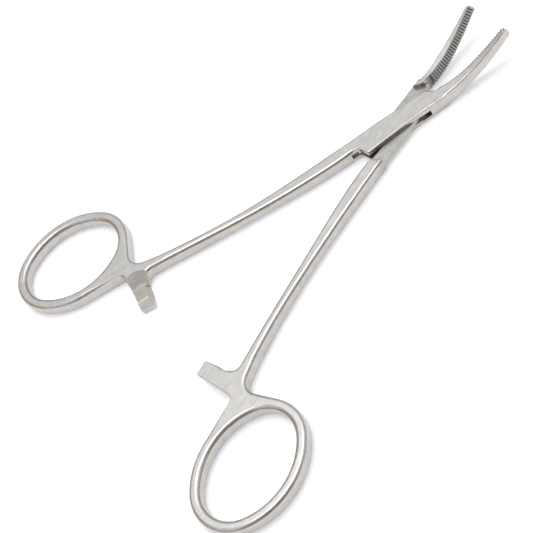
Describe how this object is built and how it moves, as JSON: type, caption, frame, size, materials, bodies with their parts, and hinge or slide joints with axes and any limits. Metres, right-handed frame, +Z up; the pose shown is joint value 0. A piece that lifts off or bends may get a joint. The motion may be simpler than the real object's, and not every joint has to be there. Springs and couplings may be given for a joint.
{
  "type": "hemostat forceps",
  "caption": "Curved ring-handled hemostat forceps with a box lock, serrated jaws and a ratchet between the finger rings.",
  "frame": {"origin": "where the pivot axis meets the plane that the forceps lie on", "axes": "+Y from the finger rings to the jaw tips, +Z up along the pivot axis, towards which the jaws curve; +X to the right seen from above"},
  "size_m": [0.0992, 0.1183, 0.0084],
  "materials": {
    "stainless_steel": "satin brushed stainless steel"
  },
  "bodies": {
    "female": {"female_half": "stainless_steel", "pivot_pin": "stainless_steel"},
    "male": {"male_half": "stainless_steel"}
  },
  "joints": [
    {"name": "box_lock", "type": "hinge", "parent": "female", "child": "male", "pos_m": [0, 0, 0.00175], "axis": [0, 0, 1], "range_deg": [-21.6, 38]}
  ]
}
